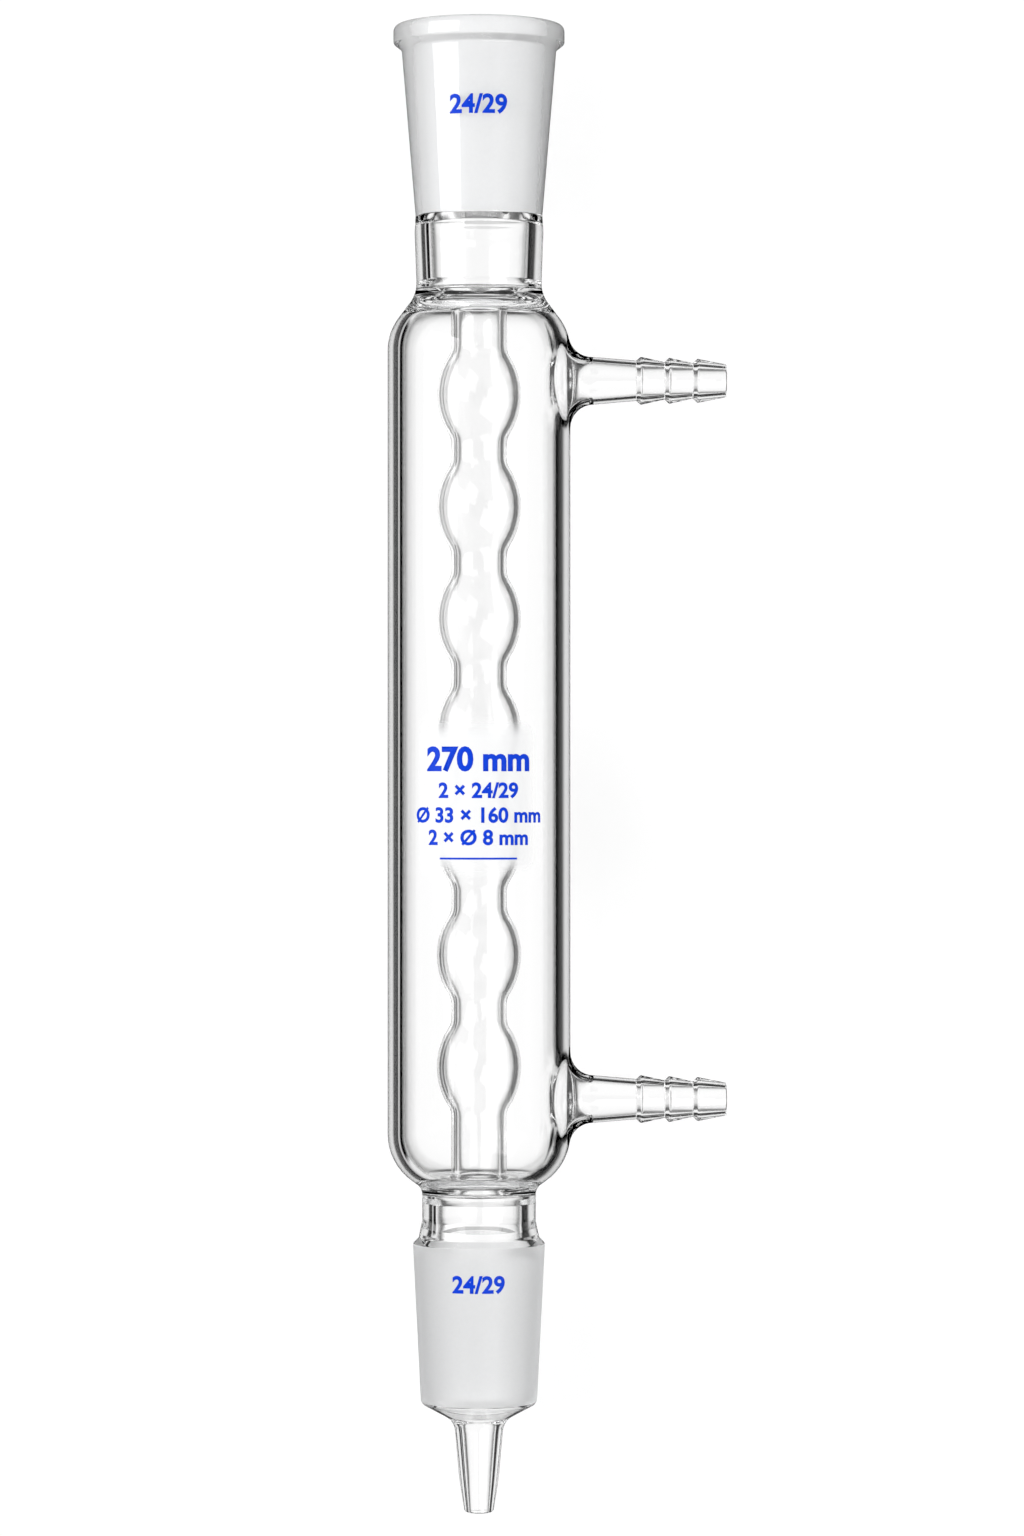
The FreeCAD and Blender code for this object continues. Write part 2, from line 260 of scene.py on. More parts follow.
LOW_SIDE = (-0.3, -0.5)         # x of a direction, where the low field starts and is full
LOW_ENDS = (0.3, 0.45)          # y of a direction, where SEEN_LOW takes over
SEEN_REFLECTED = ((82, 0.0), (100, 1.0), (150, 1.0), (165, 0.5))
SEEN_BY_PAINT = 0.6

UPRIGHT = Vector((0, 0, 1))
OUTLINE_TURN = Vector((0, -1, 0))

# From the upright condenser, in millimetres, to its place on the bench, in metres
MOUNTS = {mount["name"]: mount for mount in frame["record"]["mounts"]}
JACKET_MIDDLE = MOUNTS["jacket_grip"]["pos_m"]
NOZZLE_WAY = MOUNTS["upper_nozzle"]["axis"]
NOZZLE_DIP = math.atan2(-NOZZLE_WAY[2], NOZZLE_WAY[0])
LAID_DOWN = (
    Matrix.Translation((JACKET_MIDDLE[0], -LENGTH / 2 * MM, JACKET_MIDDLE[2]))
    @ Matrix.Rotation(NOZZLE_DIP, 4, "Y")
    @ Matrix.Rotation(-math.pi / 2, 4, "X")
    @ Matrix.Scale(MM, 4))

# The photograph's view: square to the plane of the nozzles, with the socket at the top
TO_CAMERA = Vector(LAID_DOWN.to_3x3() @ Vector((0, -1, 0))).normalized()
TO_RIGHT = Vector(LAID_DOWN.to_3x3() @ Vector((1, 0, 0))).normalized()
TO_TOP = Vector((0, 1, 0))


def line_to(mesh, vertex, radius, height, cuts=0):
    """Draws the outline on, straight, and returns its new end."""
    start = vertex.co.copy()
    for i in range(1, cuts + 2):
        vertex = bmesh.ops.extrude_vert_indiv(mesh, verts=[vertex])["verts"][0]
        vertex.co = start.lerp(Vector((radius, 0, height)), i / (cuts + 1))
    return vertex


def arc_about(mesh, vertex, radius, height, turn, steps=0):
    """Draws the outline on round a centre, by an angle in radians."""
    steps = steps or max(LEAST_ARC_STEPS, round(abs(turn) / ARC_STEP))
    swung = bmesh.ops.spin(
        mesh, geom=[vertex], cent=(radius, 0, height), axis=OUTLINE_TURN, angle=turn, steps=steps,
        use_merge=False, use_duplicate=False)
    return [part for part in swung["geom_last"] if isinstance(part, bmesh.types.BMVert)][0]


def draw_run(mesh, corners):
    """Draws straight runs with a tangent arc in each corner.

    A corner is (radius, height, round), then if needed the steps of its arc and
    the cuts in the straight run that leads to it.
    """
    vertex = mesh.verts.new((corners[0][0], 0, corners[0][1]))
    for i in range(1, len(corners)):
        radius, height, corner_round, *extra = corners[i]
        steps, cuts = extra if extra else (0, 0)
        here = Vector((radius, height))
        back = (Vector(corners[i - 1][:2]) - here).normalized()
        if i == len(corners) - 1 or corner_round <= 0:
            vertex = line_to(mesh, vertex, radius, height, cuts)
            continue
        ahead = (Vector(corners[i + 1][:2]) - here).normalized()
        side = back.cross(ahead)
        turn = math.pi - back.angle(ahead)
        setback = corner_round * math.tan(turn / 2)
        arrive = here + back * setback
        if (arrive - Vector((vertex.co.x, vertex.co.z))).length > SAME_POINT:
            vertex = line_to(mesh, vertex, arrive.x, arrive.y, cuts)
        hand = -1 if side > 0 else 1
        centre = arrive + Vector((back.y, -back.x)) * corner_round * hand
        vertex = arc_about(mesh, vertex, centre.x, centre.y, turn * hand, steps)


def draw_bulbs(mesh, inset, root_steps):
    """Draws the side of the chain of bulbs, that far inside the tube's outside."""
    side = BULB_SIDE - inset
    root = BULB_ROOT + inset
    side_centre = BULB_RADIUS - BULB_SIDE
    root_centre = TUBE_RADIUS + BULB_ROOT
    reach = math.sqrt((side + root) ** 2 - (root_centre - side_centre) ** 2)
    lean = math.atan2(reach, root_centre - side_centre)
    tube_side = TUBE_RADIUS - inset
    vertex = mesh.verts.new((tube_side, 0, CHAIN_FOOT))
    for i in range(BULB_COUNT):
        middle = LOWEST_BULB + i * BULB_PITCH
        vertex = line_to(mesh, vertex, tube_side, middle - reach)
        vertex = arc_about(mesh, vertex, root_centre, middle - reach, -lean, root_steps)
        vertex = arc_about(mesh, vertex, side_centre, middle, 2 * lean, BULB_SIDE_STEPS)
        vertex = arc_about(mesh, vertex, root_centre, middle + reach, -lean, root_steps)
        vertex = line_to(mesh, vertex, tube_side, middle + BULB_PITCH / 2)


def turn_about(mesh, axis, steps):
    """Joins up the outline and turns it once round an axis through the origin."""
    bmesh.ops.remove_doubles(mesh, verts=mesh.verts[:], dist=SAME_POINT)
    bmesh.ops.spin(
        mesh, geom=mesh.verts[:] + mesh.edges[:], axis=axis, angle=math.tau, steps=steps, use_merge=True)
    bmesh.ops.remove_doubles(mesh, verts=mesh.verts[:], dist=SAME_POINT)


def shoulder_corner(neck_radius, shoulder, slant, side_end, direction):
    """Heights at which a shoulder's flank meets the jacket's side and the neck."""
    lean = math.radians(slant)
    low = side_end + direction * shoulder * math.tan(lean / 2)
    return low, low + direction * (JACKET_RADIUS - neck_radius) / math.tan(lean)


def skin_and_vapour_path():
    """The condenser's outside skin and its vapour passage, as one closed surface."""
    mesh = bmesh.new()
    low_side, low_neck = shoulder_corner(NECK_RADIUS, LOW_SHOULDER, LOW_SLANT, SIDE_FOOT, -1)
    high_side, high_neck = shoulder_corner(THROAT_WAIST, HIGH_SHOULDER, HIGH_SLANT, SIDE_HEAD, 1)
    draw_run(mesh, [
        # down the vapour passage, from the bulbs to the drip tip
        (TUBE_BORE, CHAIN_FOOT, 0),
        (TUBE_BORE, NECK_CEILING + FUNNEL_DEPTH, 2.0),
        (TUBE_BORE + BEAD, NECK_CEILING, 0.5),
        (NECK_MOUTH, NECK_CEILING, 0.9),
        (NECK_MOUTH, NECK_CEILING - BEAD_HEIGHT / 2, 0.5),
        (NECK_BORE, NECK_CEILING - BEAD_HEIGHT, 0.8),
        (NECK_BORE, NECK_BORE_FOOT, 0.8),
        (NECK_MOUTH, COLLAR_HEIGHT, 0.8),
        (JOINT_RADIUS - CONE_WALL, CONE_GRIND[1] - CONE_WALL, 1.5),
        (CONE_FOOT_RADIUS - CONE_WALL, CONE_FUNNEL_HEAD, 2.2),
        (TIP_HEAD_BORE, TIP_HEAD, 2.0),
        (TIP_END_BORE, 0, 0.15),
        # up the outside, from the drip tip to the rim
        (TIP_END_RADIUS, 0, 0.8),
        (TIP_BEND_RADIUS, TIP_BEND_HEIGHT, 30.0, 6, 0),
        (TIP_HEAD_RADIUS, TIP_HEAD, 3.4),
        (CONE_FOOT_RADIUS, CONE_GRIND[0], 1.4),
        (JOINT_RADIUS, CONE_GRIND[1], 0.5),
        (COLLAR_RADIUS, COLLAR_HEIGHT, 0.7),
        (NECK_RADIUS, COLLAR_HEAD, 3.0),
        (NECK_RADIUS, low_neck, 2.4),
        (JACKET_RADIUS, low_side, LOW_SHOULDER, SHOULDER_STEPS, 0),
        (JACKET_RADIUS, LOW_PATCH_TOP, 0, 0, LOW_SIDE_ROWS),
        (JACKET_RADIUS, HIGH_PATCH_FOOT, 0),
        (JACKET_RADIUS, high_side, HIGH_SHOULDER, SHOULDER_STEPS, HIGH_SIDE_ROWS),
        (THROAT_WAIST, high_neck, 6.0),
        (THROAT_RADIUS, THROAT_HEAD, 2.0),
        (SOCKET_FOOT_BORE + SOCKET_WALL_FOOT, SOCKET_GRIND[0], 0.8),
        (JOINT_RADIUS + SOCKET_WALL_TOP, RIM_BEVEL_FOOT, 0.8),
        (RIM_RADIUS, RIM_FOOT, 0.6),
        (RIM_RADIUS, LENGTH, 1.2),
        # down the socket's bore, from the rim to the bulbs
        (MOUTH_RADIUS, LENGTH, 1.2),
        (JOINT_RADIUS, SOCKET_GRIND[1], 3.0),
        (SOCKET_FOOT_BORE, SOCKET_GRIND[0], 0.8),
        (THROAT_BORE, THROAT_BORE_HEAD, 0.8),
        (THROAT_BORE - BEAD, THROAT_FLOOR + BEAD_HEIGHT, 0.8),
        (THROAT_BORE, THROAT_FLOOR + BEAD_HEIGHT / 2, 0.6),
        (THROAT_BORE, THROAT_FLOOR, 0.6),
        (FUNNEL_RADIUS, THROAT_FLOOR, 1.0),
        (TUBE_BORE, THROAT_FLOOR - FUNNEL_DEPTH, 1.2),
        (TUBE_BORE, CHAIN_HEAD, 0),
    ])
    draw_bulbs(mesh, TUBE_WALL, ROOT_STEPS_INSIDE)
    turn_about(mesh, UPRIGHT, AROUND)
    return mesh


def water_space():
    """The skin of the hollow between jacket and bulb tube."""
    mesh = bmesh.new()
    draw_run(mesh, [
        (TUBE_RADIUS, CHAIN_FOOT, 0),
        (TUBE_RADIUS, WATER_FLOOR, SEAL_ROUND),
        (JACKET_BORE, WATER_FLOOR, BORE_SHOULDER, BORE_SHOULDER_STEPS, 0),
        (JACKET_BORE, BORE_LOW_PATCH_TOP, 0, 0, BORE_SIDE_ROWS),
        (JACKET_BORE, BORE_HIGH_PATCH_FOOT, 0),
        (JACKET_BORE, WATER_TOP, BORE_SHOULDER, BORE_SHOULDER_STEPS, BORE_SIDE_ROWS),
        (TUBE_RADIUS, WATER_TOP, SEAL_ROUND),
        (TUBE_RADIUS, CHAIN_HEAD, 0),
    ])
    draw_bulbs(mesh, 0, ROOT_STEPS_OUTSIDE)
    turn_about(mesh, UPRIGHT, AROUND)
    return mesh


def wall_radius(height, side, low_shoulder, high_shoulder):
    """Radius of a round wall at a height, on its straight side or its shoulders."""
    shoulder = low_shoulder if height < SIDE_FOOT else high_shoulder
    beyond = max(SIDE_FOOT - height, height - SIDE_HEAD, 0)
    return side - shoulder + math.sqrt(shoulder ** 2 - beyond ** 2)


def flare_point(part_way, angle, nozzle_height, side, shoulder, stem, flare):
    """A point of a nozzle's flared root.

    The flare is the path of a ball that rolls round the stem and touches the
    wall too. part_way is 0 where it touches the wall, and 1 at the stem.
    """
    out = stem + flare
    across = out * math.cos(angle)
    height = nozzle_height + out * math.sin(angle)
    ring_radius = side - shoulder
    beyond = max(SIDE_FOOT - height, height - SIDE_HEAD, 0)
    off_axis = ring_radius + math.sqrt((shoulder + flare) ** 2 - beyond ** 2)
    reach = math.sqrt(off_axis ** 2 - across ** 2)
    centre = Vector((reach, across, height))
    share = shoulder / (shoulder + flare)
    wall_off_axis = ring_radius + (off_axis - ring_radius) * share
    side_end = min(max(height, SIDE_FOOT), SIDE_HEAD)
    on_wall = Vector((
        reach * wall_off_axis / off_axis,
        across * wall_off_axis / off_axis,
        side_end + (height - side_end) * share))
    on_stem = Vector((reach, stem * math.cos(angle), nozzle_height + stem * math.sin(angle)))
    from_wall = (on_wall - centre).normalized()
    return centre + from_wall.slerp((on_stem - centre).normalized(), part_way) * flare


def nozzle(nozzle_height):
    """A hose nozzle with its flared roots, open towards the jacket's two walls.

    It is turned upright, with its flares drawn as straight rings between 0 and 1,
    and then laid out along +X, where the rings are put on the flares' curves.
    """
    mesh = bmesh.new()
    corners = [
        (STEM_RADIUS, 0, 0),
        (STEM_RADIUS, 1, 0, 0, FLARE_RINGS - 1),
        (STEM_RADIUS, STEM_START, STEM_CURVE, 3, 0),
        (STEM_END_RADIUS, RIDGE_START, RIDGE_ROUND),
    ]
    for i in range(RIDGE_COUNT):
        foot = RIDGE_START + i * RIDGE_PITCH
        corners.append((RIDGE_RADIUS - i * RIDGE_STEP, foot + RIDGE_RISE, RIDGE_ROUND))
        if i < RIDGE_COUNT - 1:
            corners.append((VALLEY_RADIUS - i * VALLEY_STEP, foot + RIDGE_PITCH, RIDGE_ROUND))
    corners += [
        (NOZZLE_END_RADIUS, NOZZLE_REACH, 0.4),
        (NOZZLE_END_BORE, NOZZLE_REACH, 0.3),
        (STEM_END_RADIUS - NOZZLE_WALL, RIDGE_START, STEM_CURVE, 3, 0),
        (STEM_BORE, STEM_START, STEM_CURVE, 3, 0),
        (STEM_BORE, 1, 0),
        (STEM_BORE, 0, 0, 0, FLARE_RINGS - 1),
    ]
    draw_run(mesh, corners)
    turn_about(mesh, UPRIGHT, NOZZLE_AROUND)
    shoulder = HIGH_SHOULDER if nozzle_height > LENGTH / 2 else LOW_SHOULDER
    between = (STEM_RADIUS + STEM_BORE) / 2
    for vertex in mesh.verts:
        x, y, along = vertex.co
        angle = math.atan2(y, x)
        if along > 1 + SAME_POINT:
            vertex.co = (along, x, nozzle_height + y)
        elif math.hypot(x, y) > between:
            vertex.co = flare_point(
                along, angle, nozzle_height, JACKET_RADIUS, shoulder, STEM_RADIUS, FLARE_OUTSIDE)
        else:
            vertex.co = flare_point(
                along, angle, nozzle_height, JACKET_BORE, BORE_SHOULDER, STEM_BORE, FLARE_INSIDE)
    return mesh


def gathered(parts):
    """One mesh that holds all the parts."""
    whole = bmesh.new()
    for part in parts:
        carrier = bpy.data.meshes.new("carrier")
        part.to_mesh(carrier)
        part.free()
        whole.from_mesh(carrier)
        bpy.data.meshes.remove(carrier)
    return whole


def open_wall(mesh, nearest, farthest, segments, foot, head):
    """Takes a patch out of a wall where a nozzle leaves it."""
    half_width = segments / 2 * math.tau / AROUND
    patch = []
    for face in mesh.faces:
        middle = face.calc_center_median()
        off_axis = math.hypot(middle.x, middle.y)
        if nearest < off_axis < farthest and foot < middle.z < head:
            if abs(math.atan2(middle.y, middle.x)) < half_width:
                patch.append(face)
    bmesh.ops.delete(mesh, geom=patch, context="FACES")


def close_wall(mesh, nearest, farthest, height, side, low_shoulder, high_shoulder):
    """Joins a wall's open patch to the rim of a nozzle's flare, on the wall's own curve."""
    rims = []
    for edge in mesh.edges:
        middle = (edge.verts[0].co + edge.verts[1].co) / 2
        near = abs(middle.z - height) < NOZZLE_REACH / 2 and middle.x > 0
        if edge.is_boundary and near and nearest < math.hypot(middle.x, middle.y) < farthest:
            rims.append(edge)
    bridge = bmesh.ops.bridge_loops(mesh, edges=rims)
    cut = bmesh.ops.subdivide_edges(mesh, edges=bridge["edges"], cuts=PATCH_CUTS, use_grid_fill=True)
    for part in cut["geom_inner"]:
        if isinstance(part, bmesh.types.BMVert):
            off_axis = math.hypot(part.co.x, part.co.y)
            true_radius = wall_radius(part.co.z, side, low_shoulder, high_shoulder)
            part.co.x *= true_radius / off_axis
            part.co.y *= true_radius / off_axis


def past_side(shoulder, slant, patch_steps, steps):
    """How far past the straight side a patch ends, after so many of the shoulder's steps."""
    return shoulder * math.sin(math.radians(slant * patch_steps / steps))


def glass_mesh():
    """The whole condenser, upright."""
    low_row = SIDE_FOOT - past_side(LOW_SHOULDER, LOW_SLANT, LOW_PATCH_STEPS, SHOULDER_STEPS)
    high_row = SIDE_HEAD + past_side(HIGH_SHOULDER, HIGH_SLANT, HIGH_PATCH_STEPS, SHOULDER_STEPS)
    bore_row = past_side(BORE_SHOULDER, 90, BORE_PATCH_STEPS, BORE_SHOULDER_STEPS)
    skin = skin_and_vapour_path()
    open_wall(skin, *OUTER_WALL, OUTER_PATCH_SEGMENTS, low_row, LOW_PATCH_TOP)
    open_wall(skin, *OUTER_WALL, OUTER_PATCH_SEGMENTS, HIGH_PATCH_FOOT, high_row)
    water = water_space()
    open_wall(water, *INNER_WALL, INNER_PATCH_SEGMENTS, SIDE_FOOT - bore_row, BORE_LOW_PATCH_TOP)
    open_wall(water, *INNER_WALL, INNER_PATCH_SEGMENTS, BORE_HIGH_PATCH_FOOT, SIDE_HEAD + bore_row)
    mesh = gathered([skin, water] + [nozzle(height) for height in NOZZLE_HEIGHTS])
    for height in NOZZLE_HEIGHTS:
        close_wall(mesh, *OUTER_WALL, height, JACKET_RADIUS, LOW_SHOULDER, HIGH_SHOULDER)
        close_wall(mesh, *INNER_WALL, height, JACKET_BORE, BORE_SHOULDER, BORE_SHOULDER)
    bmesh.ops.recalc_face_normals(mesh, faces=mesh.faces[:])
    return mesh


def as_piece(mesh, name):
    """A finished piece from an upright mesh in millimetres."""
    data = bpy.data.meshes.new(name)
    bmesh.ops.transform(mesh, matrix=LAID_DOWN, verts=mesh.verts[:])
    mesh.to_mesh(data)
    mesh.free()
    piece = bpy.data.objects.new(name, data)
    bpy.context.collection.objects.link(piece)
    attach(piece, "root")
    return piece


def on_taper(face, height_range, foot_radius, head_radius):
    """Whether an upright face lies on a ground zone."""
    middle = face.calc_center_median()
    foot, head = height_range
    share = (middle.z - foot) / (head - foot)
    if not 0 < share < 1:
        return False
    taper = foot_radius + share * (head_radius - foot_radius)
    return abs(math.hypot(middle.x, middle.y) - taper) < GRIND_REACH


def build_glass():
    """The condenser's glass, clear but for the ground zones and the lip."""
    mesh = glass_mesh()
    for face in mesh.faces:
        face.smooth = True
        ground = on_taper(face, CONE_GRIND, CONE_FOOT_RADIUS, JOINT_RADIUS)
        ground = ground or on_taper(face, SOCKET_GRIND, SOCKET_FOOT_BORE, JOINT_RADIUS)
        ground = ground or on_taper(face, SOCKET_LIP, JOINT_RADIUS, JOINT_RADIUS + LIP_FLARE)
        face.material_index = 1 if ground else 0
    glass = as_piece(mesh, "glass_body")
    even = glass.modifiers.new("even shading", "WEIGHTED_NORMAL")
    even.keep_sharp = False
    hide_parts("condenser_glass")
    glass.data.materials.append(clear_glass())
    glass.data.materials.append(ground_glass())


def new_material(name):
    material = bpy.data.materials.new(name)
    material.use_nodes = True
    material.node_tree.nodes.clear()
    return material, material.node_tree


def node(tree, kind, **settings):
    made = tree.nodes.new(kind)
    for key, value in settings.items():
        setattr(made, key, value)
    return made


def lets_lamps_through(tree, shader, share):
    """Ends a glass material, so that lamps shine through it onto what lies behind."""
    path = node(tree, "ShaderNodeLightPath")
    open_way = node(tree, "ShaderNodeBsdfTransparent")
    open_way.inputs["Color"].default_value = (share, share, share, 1)
    mix = node(tree, "ShaderNodeMixShader")
    output = node(tree, "ShaderNodeOutputMaterial")
    tree.links.new(path.outputs["Is Shadow Ray"], mix.inputs["Fac"])
    tree.links.new(shader.outputs["BSDF"], mix.inputs[1])
    tree.links.new(open_way.outputs["BSDF"], mix.inputs[2])
    tree.links.new(mix.outputs["Shader"], output.inputs["Surface"])


def clear_glass():
    material, tree = new_material("clear borosilicate glass")
    shader = node(tree, "ShaderNodeBsdfPrincipled")
    shader.inputs["Base Color"].default_value = (1, 1, 1, 1)
    shader.inputs["Roughness"].default_value = 0
    shader.inputs["IOR"].default_value = GLASS_INDEX
    shader.inputs["Transmission Weight"].default_value = 1
    lets_lamps_through(tree, shader, CLEAR_LETS_LAMPS)
    return material


def ground_glass():
    """Matt glass with the fine grit of grinding in its colour and its surface."""
    material, tree = new_material("ground glass")
    shader = node(tree, "ShaderNodeBsdfPrincipled")
    shader.inputs["Roughness"].default_value = GROUND_ROUGHNESS
    shader.inputs["IOR"].default_value = GLASS_INDEX
    shader.inputs["Transmission Weight"].default_value = GROUND_CLEARNESS
    place = node(tree, "ShaderNodeTexCoord")
    grit = node(tree, "ShaderNodeTexNoise")
    grit.inputs["Scale"].default_value = GRIT_SCALE
    grit.inputs["Detail"].default_value = GRIT_DETAIL
    grit.inputs["Roughness"].default_value = GRIT_ROUGHNESS
    tint = node(tree, "ShaderNodeMix", data_type="RGBA")
    tint.inputs["A"].default_value = GROUND_DARKER
    tint.inputs["B"].default_value = GROUND_PALER
    relief = node(tree, "ShaderNodeBump")
    relief.inputs["Strength"].default_value = GRIT_RELIEF
    relief.inputs["Distance"].default_value = GRIT_DEPTH
    tree.links.new(place.outputs["Object"], grit.inputs["Vector"])
    tree.links.new(grit.outputs["Fac"], tint.inputs["Factor"])
    tree.links.new(tint.outputs["Result"], shader.inputs["Base Color"])
    tree.links.new(grit.outputs["Fac"], relief.inputs["Height"])
    tree.links.new(relief.outputs["Normal"], shader.inputs["Normal"])
    lets_lamps_through(tree, shader, GROUND_LETS_LAMPS)
    return material


def blue_enamel():
    material, tree = new_material("blue enamel")
    shader = node(tree, "ShaderNodeBsdfPrincipled")
    shader.inputs["Base Color"].default_value = ENAMEL_BLUE
    shader.inputs["Roughness"].default_value = ENAMEL_ROUGHNESS
    shader.inputs["Specular IOR Level"].default_value = ENAMEL_GLOSS
    output = node(tree, "ShaderNodeOutputMaterial")
    tree.links.new(shader.outputs["BSDF"], output.inputs["Surface"])
    return material


def pale_enamel():
    """A thin white wash that fades out towards the edge of its patch."""
    material, tree = new_material("pale enamel wash")
    shader = node(tree, "ShaderNodeBsdfPrincipled")
    shader.inputs["Base Color"].default_value = WASH_WHITE
    shader.inputs["Roughness"].default_value = WASH_ROUGHNESS
    shader.inputs["Specular IOR Level"].default_value = WASH_GLOSS
    cover = node(tree, "ShaderNodeAttribute", attribute_name="cover")
    output = node(tree, "ShaderNodeOutputMaterial")
    tree.links.new(cover.outputs["Fac"], shader.inputs["Alpha"])
    tree.links.new(shader.outputs["BSDF"], output.inputs["Surface"])
    return material


def outer_radius(height):
    """Radius of the glass under a mark."""
    if height > SOCKET_GRIND[0]:
        foot = SOCKET_FOOT_BORE + SOCKET_WALL_FOOT
        share = (height - SOCKET_GRIND[0]) / (RIM_BEVEL_FOOT - SOCKET_GRIND[0])
        return foot + share * (JOINT_RADIUS + SOCKET_WALL_TOP - foot)
    if height < CONE_GRIND[1]:
        return CONE_FOOT_RADIUS + (height - CONE_GRIND[0]) * JOINT_TAPER / 2
    return JACKET_RADIUS


def wrapped(mesh, name, height, enamel):
    """Lays a flat mark round the glass at a height, on the side that faces the camera."""
    reach = max(abs(vertex.co.x) for vertex in mesh.verts)
    for i in range(-int(reach / PRINT_STRIP), int(reach / PRINT_STRIP) + 1):
        bmesh.ops.bisect_plane(
            mesh, geom=mesh.verts[:] + mesh.edges[:] + mesh.faces[:],
            plane_co=(i * PRINT_STRIP, 0, 0), plane_no=(1, 0, 0))
    raised = bmesh.ops.extrude_face_region(mesh, geom=mesh.faces[:])
    top = [part for part in raised["geom"] if isinstance(part, bmesh.types.BMVert)]
    bmesh.ops.translate(mesh, verts=top, vec=(0, 0, PRINT_THICK))
    bmesh.ops.recalc_face_normals(mesh, faces=mesh.faces[:])
    for vertex in mesh.verts:
        u, v, lift = vertex.co
        radius = outer_radius(height + v)
        angle = u / radius
        radius += PRINT_LIFT + lift
        vertex.co = (radius * math.sin(angle), -radius * math.cos(angle), height + v)
    mark = as_piece(mesh, name)
    mark.data.materials.append(enamel)


def figures(words, name, height, figure_height, fattening, enamel):
    """A line of size figures, centred on the axis."""
    curve = bpy.data.curves.new(name, "FONT")
    curve.body = words
    curve.align_x = "CENTER"
    curve.align_y = "CENTER"
    curve.offset = fattening
    curve.resolution_u = FIGURE_STEPS
    carrier = bpy.data.objects.new(name, curve)
    bpy.context.collection.objects.link(carrier)
    flat = bpy.data.meshes.new_from_object(carrier)
    bpy.data.objects.remove(carrier)
    mesh = bmesh.new()
    mesh.from_mesh(flat)
    bpy.data.meshes.remove(flat)
    bmesh.ops.remove_doubles(mesh, verts=mesh.verts[:], dist=SAME_POINT)
    low = min(vertex.co.y for vertex in mesh.verts)
    high = max(vertex.co.y for vertex in mesh.verts)
    size = figure_height / (high - low)
    bmesh.ops.translate(mesh, verts=mesh.verts[:], vec=(0, -(low + high) / 2, 0))
    bmesh.ops.scale(mesh, verts=mesh.verts[:], vec=(size, size, size))
    wrapped(mesh, name, height, enamel)


def rule(name, height, length, width, enamel):
    """The plain line under the middle block."""
    mesh = bmesh.new()
    bmesh.ops.create_grid(mesh, x_segments=1, y_segments=1, size=0.5)
    bmesh.ops.scale(mesh, verts=mesh.verts[:], vec=(length, width, 1))
    wrapped(mesh, name, height, enamel)


def fade_in(distance):
    """0 at the patch's edge and 1 where the fade ends."""
    share = min(max(distance / WASH_FADE, 0), 1)
    return share * share * (3 - 2 * share)


def backing(name, height, width, length):
    """A soft pale patch under a block of print, which hides the bulbs behind it."""
    mesh = bmesh.new()
    bmesh.ops.create_grid(mesh, x_segments=WASH_CELLS[0], y_segments=WASH_CELLS[1], size=0.5)
    bmesh.ops.scale(mesh, verts=mesh.verts[:], vec=(width, length, 1))
    cover = mesh.verts.layers.float.new("cover")
    radius = JACKET_RADIUS + WASH_LIFT
    for vertex in mesh.verts:
        u, v = vertex.co.x, vertex.co.y
        vertex[cover] = WASH_COVER * fade_in(width / 2 - abs(u)) * fade_in(length / 2 - abs(v))
        vertex.co = (radius * math.sin(u / radius), -radius * math.cos(u / radius), height + v)
    for face in mesh.faces:
        face.smooth = True
    patch = as_piece(mesh, name)
    patch.data.materials.append(pale_enamel())


def build_print():
    """The pale patch, then the size figures and the rule."""
    enamel = blue_enamel()
    backing("print_backing", WASH_HEIGHT, *WASH_SIZE)
    for words, name, height, figure_height, fattening in SIZE_FIGURES:
        figures(words, name, height, figure_height, fattening, enamel)
    rule("rule_mark", RULE_HEIGHT, RULE_LENGTH, RULE_WIDTH, enamel)


def photo_camera():
    """The photograph's camera, which looks down on the condenser as it lies."""
    data = bpy.data.cameras.new("camera")
    data.sensor_fit = "VERTICAL"
    data.lens = data.sensor_height * CAMERA_DISTANCE / VIEW_HEIGHT
    camera = bpy.data.objects.new("camera", data)
    bpy.context.collection.objects.link(camera)
    axis_point = LAID_DOWN @ Vector((0, 0, LENGTH / 2))
    place = axis_point + TO_RIGHT * SHIFT_RIGHT + TO_TOP * SHIFT_UP + TO_CAMERA * CAMERA_DISTANCE
    turn = Matrix((TO_RIGHT, TO_TOP, TO_CAMERA)).transposed()
    camera.matrix_world = Matrix.Translation(place) @ turn.to_4x4()
    bpy.context.scene.camera = camera


def area_lamp(name, place, size, power):
    """A soft lamp that is turned to the condenser's place."""
    data = bpy.data.lights.new(name, "AREA")
    data.shape = "RECTANGLE"
    data.size, data.size_y = size
    data.energy = power
    lamp = bpy.data.objects.new(name, data)
    lamp.location = place
    lamp.rotation_euler = (-Vector(place)).to_track_quat("-Z", "Y").to_euler()
    bpy.context.collection.objects.link(lamp)


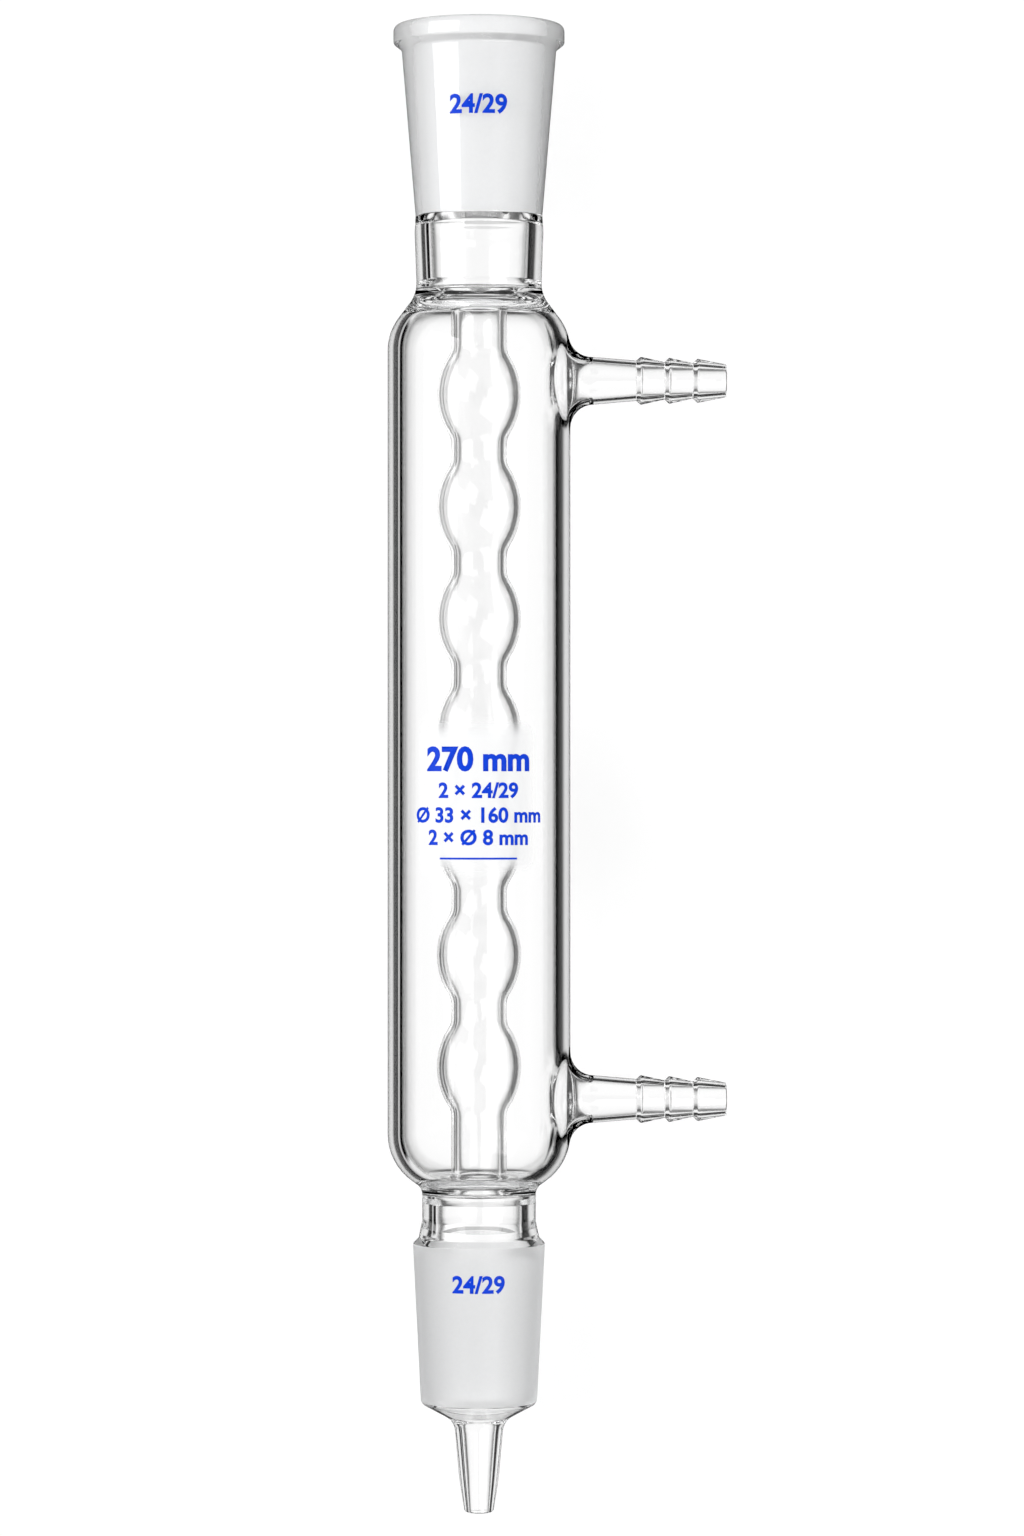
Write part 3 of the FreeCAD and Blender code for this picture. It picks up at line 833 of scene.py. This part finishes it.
def pale_bench():
    """A pale bench that keeps the condenser's shadow.

    Rays through the glass and reflections don't meet it: they see the studio.
    """
    mesh = bmesh.new()
    bmesh.ops.create_grid(mesh, x_segments=1, y_segments=1, size=BENCH_HALF_WIDTH)
    data = bpy.data.meshes.new("bench_top")
    mesh.to_mesh(data)
    mesh.free()
    bench = bpy.data.objects.new("bench_top", data)
    bpy.context.collection.objects.link(bench)
    material, tree = new_material("pale bench")
    lit = node(tree, "ShaderNodeBsdfDiffuse")
    lit.inputs["Color"].default_value = BENCH_GREY
    glow = node(tree, "ShaderNodeEmission")
    glow.inputs["Strength"].default_value = BENCH_GLOW
    mix = node(tree, "ShaderNodeMixShader")
    mix.inputs["Fac"].default_value = BENCH_GLOW_SHARE
    output = node(tree, "ShaderNodeOutputMaterial")
    tree.links.new(lit.outputs["BSDF"], mix.inputs[1])
    tree.links.new(glow.outputs["Emission"], mix.inputs[2])
    tree.links.new(mix.outputs["Shader"], output.inputs["Surface"])
    bench.data.materials.append(material)
    bench.visible_transmission = False
    bench.visible_glossy = False


def shade_by_angle(tree, angle_cosine, shades):
    """A grey that depends on the angle from the photograph's line of sight, in degrees."""
    ramp = node(tree, "ShaderNodeValToRGB")
    stops = ramp.color_ramp.elements
    stops.remove(stops[1])
    for i, (degrees, grey) in enumerate(shades):
        position = (1 + math.cos(math.radians(degrees))) / 2
        stop = stops[0] if i == 0 else stops.new(position)
        stop.position = position
        stop.color = (grey, grey, grey, 1)
    tree.links.new(angle_cosine, ramp.inputs["Fac"])
    return ramp.outputs["Color"]


def eased(tree, value, start, end):
    """0 before the start and 1 past the end, with a soft step between."""
    step = node(tree, "ShaderNodeMapRange", interpolation_type="SMOOTHSTEP")
    step.inputs["From Min"].default_value = start
    step.inputs["From Max"].default_value = end
    tree.links.new(value, step.inputs["Value"])
    return step.outputs["Result"]


def mixed(tree, factor, first, second):
    """One of two shades, or a mix of them."""
    mix = node(tree, "ShaderNodeMix", data_type="RGBA")
    tree.links.new(factor, mix.inputs["Factor"])
    tree.links.new(first, mix.inputs["A"])
    tree.links.new(second, mix.inputs["B"])
    return mix.outputs["Result"]


def studio():
    """A bright field behind the glass, dark cards beside it, and a pale room in front."""
    world = bpy.data.worlds.new("studio")
    world.use_nodes = True
    tree = world.node_tree
    tree.nodes.clear()
    place = node(tree, "ShaderNodeTexCoord")
    path = node(tree, "ShaderNodeLightPath")
    toward = node(tree, "ShaderNodeVectorMath", operation="DOT_PRODUCT")
    toward.inputs[1].default_value = -TO_CAMERA
    from_cosine = node(tree, "ShaderNodeMapRange")
    from_cosine.inputs["From Min"].default_value = -1
    sides = node(tree, "ShaderNodeSeparateXYZ")
    off_axis = node(tree, "ShaderNodeMath", operation="ABSOLUTE")
    tree.links.new(place.outputs["Generated"], toward.inputs[0])
    tree.links.new(toward.outputs["Value"], from_cosine.inputs["Value"])
    tree.links.new(place.outputs["Generated"], sides.inputs["Vector"])
    tree.links.new(sides.outputs["Y"], off_axis.inputs[0])
    cosine = from_cosine.outputs["Result"]

    # What is seen through the glass
    low_field = mixed(
        tree, eased(tree, off_axis.outputs["Value"], *LOW_ENDS),
        shade_by_angle(tree, cosine, SEEN_LOW_ACROSS), shade_by_angle(tree, cosine, SEEN_LOW))
    field = mixed(
        tree, eased(tree, sides.outputs["X"], *LOW_SIDE),
        shade_by_angle(tree, cosine, SEEN_THROUGH), low_field)

    # White for the camera, plain light for paint, and the room for reflections
    by_paint = node(tree, "ShaderNodeMix", data_type="RGBA")
    by_paint.inputs["A"].default_value = (1, 1, 1, 1)
    by_paint.inputs["B"].default_value = (SEEN_BY_PAINT, SEEN_BY_PAINT, SEEN_BY_PAINT, 1)
    tree.links.new(path.outputs["Is Diffuse Ray"], by_paint.inputs["Factor"])
    reflected = mixed(
        tree, path.outputs["Is Glossy Ray"],
        by_paint.outputs["Result"], shade_by_angle(tree, cosine, SEEN_REFLECTED))
    seen = mixed(tree, path.outputs["Is Transmission Ray"], reflected, field)
    background = node(tree, "ShaderNodeBackground")
    output = node(tree, "ShaderNodeOutputWorld")
    tree.links.new(seen, background.inputs["Color"])
    tree.links.new(background.outputs["Background"], output.inputs["Surface"])
    bpy.context.scene.world = world


build_glass()
build_print()
photo_camera()
pale_bench()
studio()
for name, place, size, power in LAMPS:
    area_lamp(name, place, size, power)

scene = bpy.context.scene
scene.view_settings.view_transform = "Standard"
scene.cycles.max_bounces = 32
scene.cycles.transmission_bounces = 32
scene.cycles.glossy_bounces = 16
